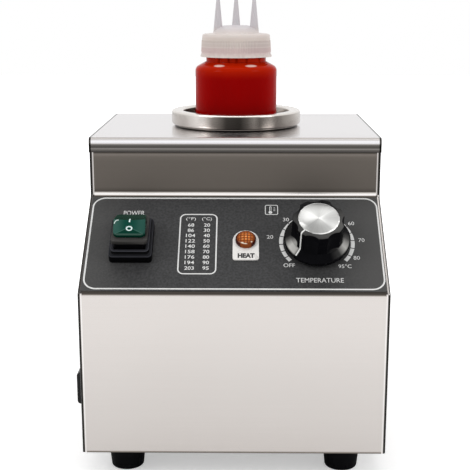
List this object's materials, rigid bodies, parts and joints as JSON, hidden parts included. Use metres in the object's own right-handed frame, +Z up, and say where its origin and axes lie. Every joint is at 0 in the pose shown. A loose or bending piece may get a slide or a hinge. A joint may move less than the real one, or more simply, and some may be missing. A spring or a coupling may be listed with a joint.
{
  "type": "hot fudge topping warmer",
  "caption": "Countertop topping warmer: a steel case with a sloped control panel, one heated well and a squeeze bottle with a nozzle cap standing in it.",
  "frame": {"origin": "on the table, under the middle of the warmer's whole outline seen from above", "axes": "+Z up; -Y towards the user, who faces the control panel; +X to the user's right"},
  "size_m": [0.2258, 0.2452, 0.3415],
  "materials": {
    "sheet_steel": "brushed along its length",
    "deck_steel": "bright, finely brushed",
    "well_steel": "drawn, satin",
    "ring_steel": "turned",
    "label_print": "fine grain with white print",
    "boot_rubber": "smooth",
    "collar_plastic": "satin",
    "rocker_plastic": "gloss, translucent green",
    "switch_plastic": "satin",
    "blade_metal": "tinned",
    "pin_steel": "ground",
    "plate_plastic": "gloss",
    "lens_plastic": "clear orange, gloss",
    "nut_steel": "plated",
    "knob_plastic": "gloss, white pointer line",
    "disc_aluminium": "spun",
    "inlet_plastic": "satin",
    "heater_steel": "heat tinted",
    "jacket_felt": "mineral felt",
    "bulb_copper": "copper",
    "cutout_plastic": "moulded",
    "block_plastic": "moulded",
    "foot_rubber": "matt",
    "screw_steel": "plated",
    "bottle_plastic": "clear, glossy",
    "sauce": "thick liquid, glossy",
    "gasket_rubber": "soft",
    "cap_plastic": "satin, slightly translucent"
  },
  "bodies": {
    "case": {"front_shell": "sheet_steel", "left_side_panel": "sheet_steel", "right_side_panel": "sheet_steel", "rear_panel": "sheet_steel", "base_plate": "sheet_steel", "top_cover": "deck_steel", "rear_screws": "screw_steel", "foot_screws": "screw_steel", "foot_nuts": "screw_steel", "control_label": "label_print", "switch_boot": "boot_rubber", "switch_case": "switch_plastic", "switch_pivot": "pin_steel", "switch_terminals": "blade_metal", "lamp_plate": "plate_plastic", "lamp_lens": "lens_plastic", "lamp_barrel": "switch_plastic", "lamp_nut": "nut_steel", "lamp_pins": "blade_metal", "thermostat_body": "switch_plastic", "thermostat_nut": "nut_steel", "thermostat_terminals": "blade_metal", "power_inlet": "inlet_plastic", "inlet_pins": "blade_metal", "well_pot": "well_steel", "well_ring": "ring_steel", "heater_band": "heater_steel", "heater_screws": "screw_steel", "insulation_jacket": "jacket_felt", "thermostat_bulb": "bulb_copper", "bulb_strap": "heater_steel", "capillary_tube": "bulb_copper", "thermal_cutout": "cutout_plastic", "cutout_nuts": "nut_steel", "terminal_block": "block_plastic", "block_screws": "screw_steel", "earth_stud": "blade_metal", "foot_front_left": "foot_rubber", "foot_front_right": "foot_rubber", "foot_rear_left": "foot_rubber", "foot_rear_right": "foot_rubber"},
    "rocker": {"switch_rocker": "rocker_plastic", "switch_collar": "collar_plastic"},
    "knob": {"thermostat_spindle": "pin_steel", "knob_body": "knob_plastic", "knob_disc": "disc_aluminium"},
    "bottle": {"bottle_shell": "bottle_plastic", "sauce_fill": "sauce"},
    "seal": {"cap_gasket": "gasket_rubber"},
    "cap": {"nozzle_cap": "cap_plastic"}
  },
  "joints": [
    {"name": "switch_rocks", "type": "hinge", "parent": "case", "child": "rocker", "pos_m": [-0.07175, -0.09338, 0.17922], "axis": [1, 0, 0], "range_deg": [0, 20]},
    {"name": "knob_turns", "type": "hinge", "parent": "case", "child": "knob", "pos_m": [0.06295, -0.08384, 0.16812], "axis": [0, 0.5983, -0.8013], "range_deg": [0, 268]},
    {"name": "bottle_lifts", "type": "slide", "parent": "case", "child": "bottle", "axis": [0, 0, 1], "range_m": [0, 0.175]},
    {"name": "cap_rises", "type": "slide", "parent": "bottle", "child": "seal", "axis": [0, 0, 1], "range_m": [0, 0.0095]},
    {"name": "cap_unscrews", "type": "hinge", "parent": "seal", "child": "cap", "pos_m": [0.00285, 0.0375, 0.31], "axis": [0, 0, 1], "range_deg": [0, 540]}
  ],
  "couplings": [
    {"joint": "cap_rises", "follows": "cap_unscrews", "m_per_rad": 0.00095493}
  ]
}
